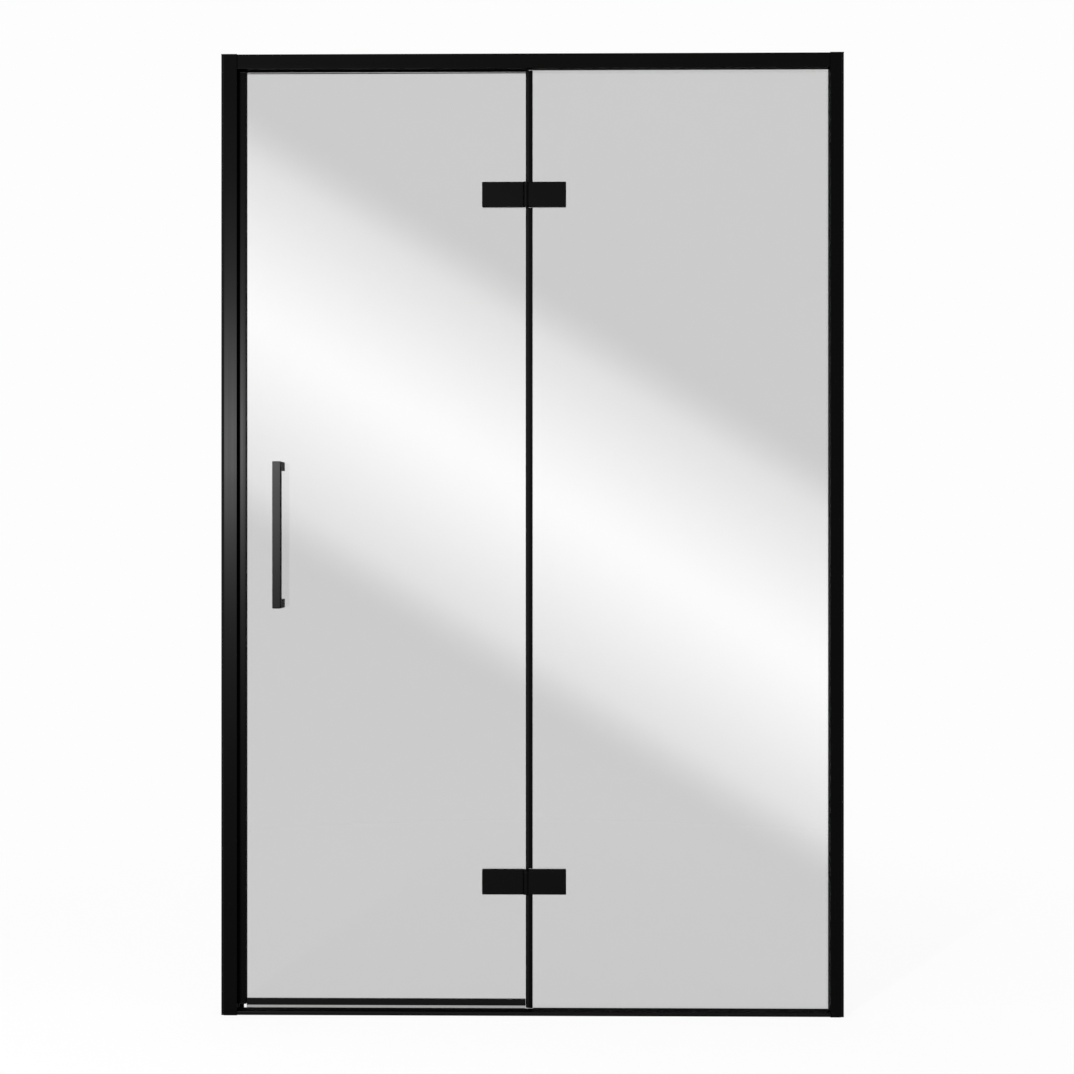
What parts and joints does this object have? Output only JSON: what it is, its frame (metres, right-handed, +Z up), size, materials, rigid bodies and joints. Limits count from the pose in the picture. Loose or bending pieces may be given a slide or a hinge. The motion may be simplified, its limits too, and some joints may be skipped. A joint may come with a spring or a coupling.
{
  "type": "pivot shower door",
  "caption": "Framed shower enclosure front: a glass door hinged to a fixed in-line glass panel, with wall channels, header, low threshold, magnetic seal and pull handle.",
  "frame": {"origin": "on the tray, midway between the walls, in the middle plane of the closed glass", "axes": "+X to the right seen from outside the shower, +Y into the shower, +Z up"},
  "size_m": [1.196, 0.066, 1.85],
  "materials": {
    "satin_black_aluminium": "satin black powder coat",
    "matt_black_channel": "matt black powder coat",
    "satin_black_hardware": "satin black plated",
    "grey_tinted_glass": "clear polished",
    "black_plastic": "fine matt",
    "clear_grey_plastic": "semi-clear moulded",
    "black_rubber": "smooth extruded",
    "magnetic_strip": "flexible magnet",
    "black_screw_steel": "blackened steel",
    "stainless_steel": "machined"
  },
  "bodies": {
    "frame": {"wall_channel_left": "matt_black_channel", "wall_channel_right": "matt_black_channel", "strike_jamb": "satin_black_aluminium", "panel_jamb": "satin_black_aluminium", "jamb_top_caps": "black_plastic", "header_rail": "satin_black_aluminium", "header_infill_strip": "satin_black_aluminium", "threshold_rail": "satin_black_aluminium", "threshold_infill_strip": "black_plastic", "header_corner_brackets": "stainless_steel", "threshold_corner_brackets": "stainless_steel", "strike_magnet_strip": "magnetic_strip", "strike_bumper_seal": "black_rubber", "fixed_glass": "grey_tinted_glass", "panel_jamb_gaskets": "black_rubber", "header_gaskets": "black_rubber", "threshold_gaskets": "black_rubber", "setting_blocks": "clear_grey_plastic", "panel_edge_profile": "satin_black_aluminium", "hinge_side_seal": "black_rubber", "panel_hinge_gaskets": "black_rubber", "panel_hinge_screws": "black_screw_steel", "hinge_thrust_washers": "black_plastic", "upper_hinge_panel_leaf": "satin_black_hardware", "upper_hinge_panel_back_plate": "satin_black_hardware", "lower_hinge_panel_leaf": "satin_black_hardware", "lower_hinge_panel_back_plate": "satin_black_hardware"},
    "door": {"door_glass": "grey_tinted_glass", "leading_edge_profile": "satin_black_aluminium", "leading_edge_caps": "black_plastic", "door_magnet_strip": "magnetic_strip", "bottom_drip_seal": "black_rubber", "upper_hinge_door_leaf": "satin_black_hardware", "upper_hinge_door_back_plate": "satin_black_hardware", "lower_hinge_door_leaf": "satin_black_hardware", "lower_hinge_door_back_plate": "satin_black_hardware", "upper_hinge_pin": "stainless_steel", "lower_hinge_pin": "stainless_steel", "door_hinge_gaskets": "black_rubber", "door_hinge_screws": "black_screw_steel", "pull_handle": "satin_black_hardware", "handle_gaskets": "black_rubber", "handle_sleeves": "clear_grey_plastic", "handle_bolts": "satin_black_hardware"}
  },
  "joints": [
    {"name": "door_hinge", "type": "hinge", "parent": "frame", "child": "door", "pos_m": [-0.0119, -0.0102, 0.9], "axis": [0, 0, 1], "range_deg": [0, 100]}
  ]
}
